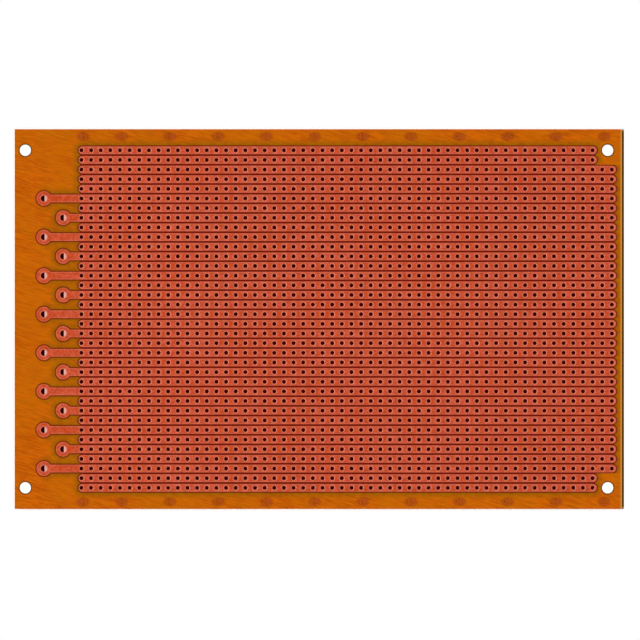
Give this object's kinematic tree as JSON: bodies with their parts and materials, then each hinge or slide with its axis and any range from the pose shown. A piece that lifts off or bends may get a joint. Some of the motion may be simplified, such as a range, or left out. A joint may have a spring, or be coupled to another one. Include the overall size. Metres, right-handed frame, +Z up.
{
  "type": "prototype board",
  "caption": "Flat punched laminate card with parallel copper strips on a hole grid, round edge-connector pads on one side and four corner fixing holes.",
  "frame": {"origin": "under the middle of the card, on the surface it lies on", "axes": "+X along the copper strips, away from the connector pads; +Y across the strips; +Z up, out of the copper side"},
  "size_m": [0.16, 0.1, 0.0015],
  "materials": {
    "laminate": "satin",
    "copper": "satin",
    "ink": "matte"
  },
  "bodies": {
    "root": {"base_board": "laminate", "strip_01": "copper", "strip_02": "copper", "strip_03": "copper", "strip_04": "copper", "strip_05": "copper", "strip_06": "copper", "strip_07": "copper", "strip_08": "copper", "strip_09": "copper", "strip_10": "copper", "strip_11": "copper", "strip_12": "copper", "strip_13": "copper", "strip_14": "copper", "strip_15": "copper", "strip_16": "copper", "strip_17": "copper", "strip_18": "copper", "strip_19": "copper", "strip_20": "copper", "strip_21": "copper", "strip_22": "copper", "strip_23": "copper", "strip_24": "copper", "strip_25": "copper", "strip_26": "copper", "strip_27": "copper", "strip_28": "copper", "strip_29": "copper", "strip_30": "copper", "strip_31": "copper", "strip_32": "copper", "strip_33": "copper", "strip_34": "copper", "strip_35": "copper", "strip_36": "copper", "contact_marks": "ink"}
  },
  "joints": []
}
